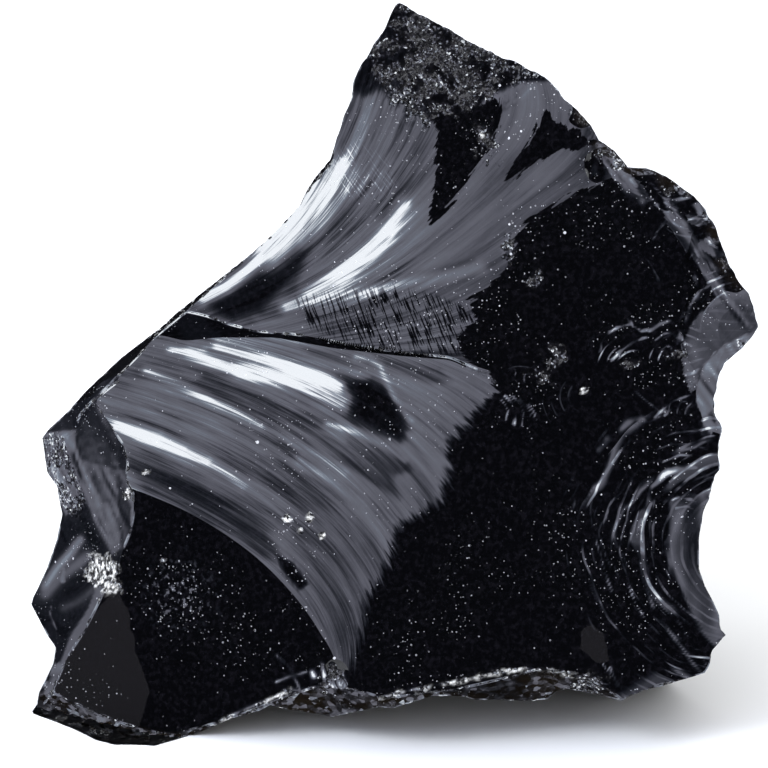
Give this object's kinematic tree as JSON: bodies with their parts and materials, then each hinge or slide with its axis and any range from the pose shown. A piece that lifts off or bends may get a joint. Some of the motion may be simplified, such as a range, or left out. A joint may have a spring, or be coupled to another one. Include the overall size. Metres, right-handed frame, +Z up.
{
  "type": "obsidian chunk",
  "caption": "Rough lump of black volcanic glass with smooth shell-shaped fracture faces, sharp ridges and ripple marks, standing on a flat underside",
  "frame": {"origin": "Middle of the bounding box in plan, at the height of the flat underside the stone stands on", "axes": "+Z up from the underside, -Y towards the broad streaked front, +X to the right edge with the shell ripples"},
  "size_m": [0.111, 0.0672, 0.1034],
  "materials": {
    "black_glass": "natural glassy fracture faces, mirror smooth where freshly broken, with fine streaks and a crumbly cap at the peak"
  },
  "bodies": {
    "root": {"obsidian_chunk": "black_glass"}
  },
  "joints": []
}
